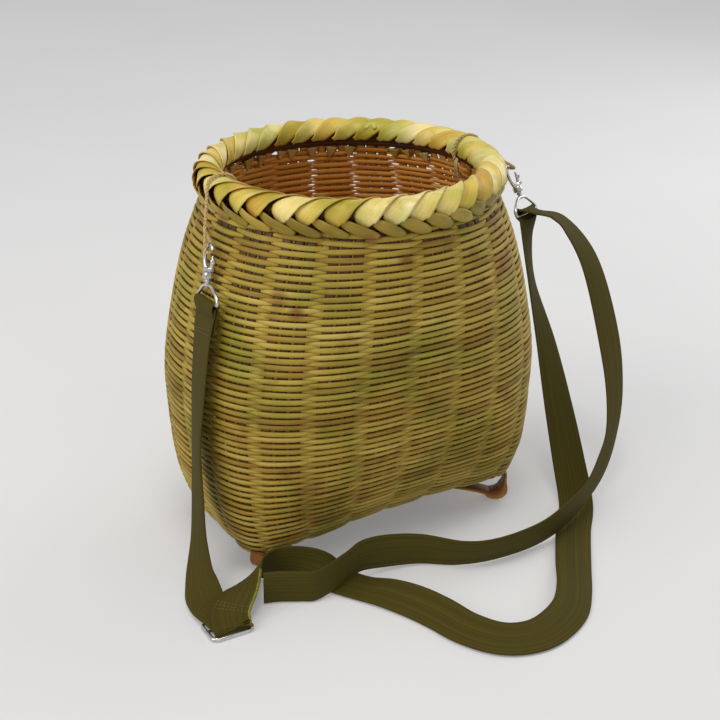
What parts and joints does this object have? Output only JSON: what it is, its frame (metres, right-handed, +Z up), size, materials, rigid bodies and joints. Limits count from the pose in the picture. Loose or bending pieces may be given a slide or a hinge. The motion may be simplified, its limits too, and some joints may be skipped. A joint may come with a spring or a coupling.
{
  "type": "woven fishing creel bag",
  "caption": "Bellied basket of woven bamboo on bent bamboo feet, with a braided rim and an adjustable webbing shoulder strap on snap hooks.",
  "frame": {"origin": "on the ground under the middle of the basket's mouth, measured without the strap, its hooks and its slider", "axes": "+Z up through the mouth, +X along the basket's long side, and the front long side looks towards -Y"},
  "size_m": [0.3727, 0.3292, 0.2681],
  "materials": {
    "bamboo_weave": "split bamboo strands woven close, olive tan, satin",
    "rim_strip": "broad pale yellow-green bamboo strips, satin",
    "leaf_strip": "olive green strip ends, satin",
    "foot_bamboo": "bent bamboo with its skin on, orange brown, semi-gloss",
    "jute_cord": "twisted plant-fibre cord, matt",
    "webbing": "olive drab woven webbing, matt with a slight sheen",
    "nickel": "bright nickel plating"
  },
  "bodies": {
    "creel": {"basket_body": "bamboo_weave", "rim_roll": "rim_strip", "rim_leaf_row": "leaf_strip", "foot_skid_lower": "foot_bamboo", "foot_skid_upper": "foot_bamboo", "hook_left_d_loop": "nickel", "hook_left_body": "nickel", "hook_right_d_loop": "nickel", "hook_right_body": "nickel", "cord_loop_left": "jute_cord", "cord_loop_right": "jute_cord", "strap_left_run": "webbing", "strap_inner_run": "webbing", "strap_outer_run": "webbing", "slider": "nickel"},
    "left_gate": {"hook_left_gate": "nickel"},
    "right_gate": {"hook_right_gate": "nickel"}
  },
  "joints": [
    {"name": "left_gate_hinge", "type": "hinge", "parent": "creel", "child": "left_gate", "pos_m": [-0.11551, -0.02679, 0.21457], "axis": [-0.9766, -0.0342, 0.2124], "range_deg": [0, 28], "stiffness_Nm_per_rad": 0.002},
    {"name": "right_gate_hinge", "type": "hinge", "parent": "creel", "child": "right_gate", "pos_m": [0.1477, 0.00959, 0.22086], "axis": [0.3918, -0.782, 0.4848], "range_deg": [0, 28], "stiffness_Nm_per_rad": 0.002}
  ]
}
